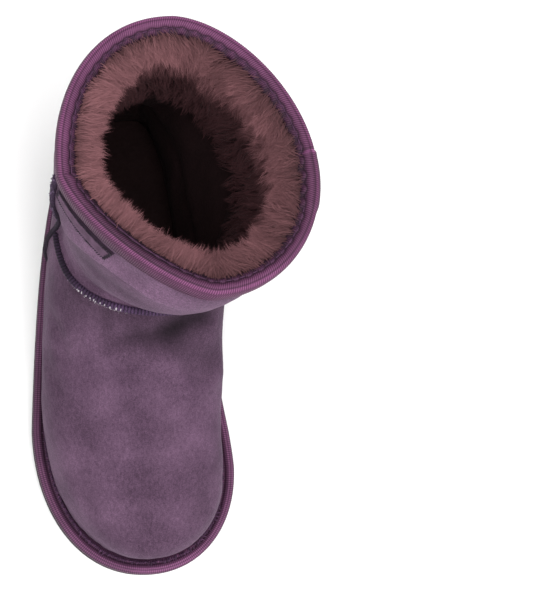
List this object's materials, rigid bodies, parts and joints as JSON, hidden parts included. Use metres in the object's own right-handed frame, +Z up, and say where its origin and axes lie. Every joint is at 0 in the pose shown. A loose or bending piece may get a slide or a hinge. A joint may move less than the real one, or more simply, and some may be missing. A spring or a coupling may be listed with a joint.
{
  "type": "winter boot",
  "caption": "Low slip-on winter boot in soft suede with a deep pile lining, a slouching shaft, woven tape round the collar and the welt, raised seams and a flat grooved sole.",
  "frame": {"origin": "centre of the bounding box at floor height, on the plane of the sole's flat spots", "axes": "+Y from toe to heel, +X to the inner side of the foot, +Z up"},
  "size_m": [0.1332, 0.26, 0.165],
  "materials": {
    "suede": "brushed suede, matt, muted violet",
    "fur": "deep wool pile, dusty rose",
    "fleece": "short wool pile",
    "tape": "ribbed woven tape, slight sheen",
    "thread": "thick sewn seam, matt",
    "patch": "plain woven strip, satin",
    "rubber": "light foamed rubber, matt"
  },
  "bodies": {
    "root": {"outsole": "rubber", "welt": "tape", "insole": "fleece", "upper": "suede", "lining": "fur", "collar_tape": "tape", "seam_outer": "thread", "seam_inner": "thread", "seam_instep": "thread", "patch": "patch"}
  },
  "joints": []
}
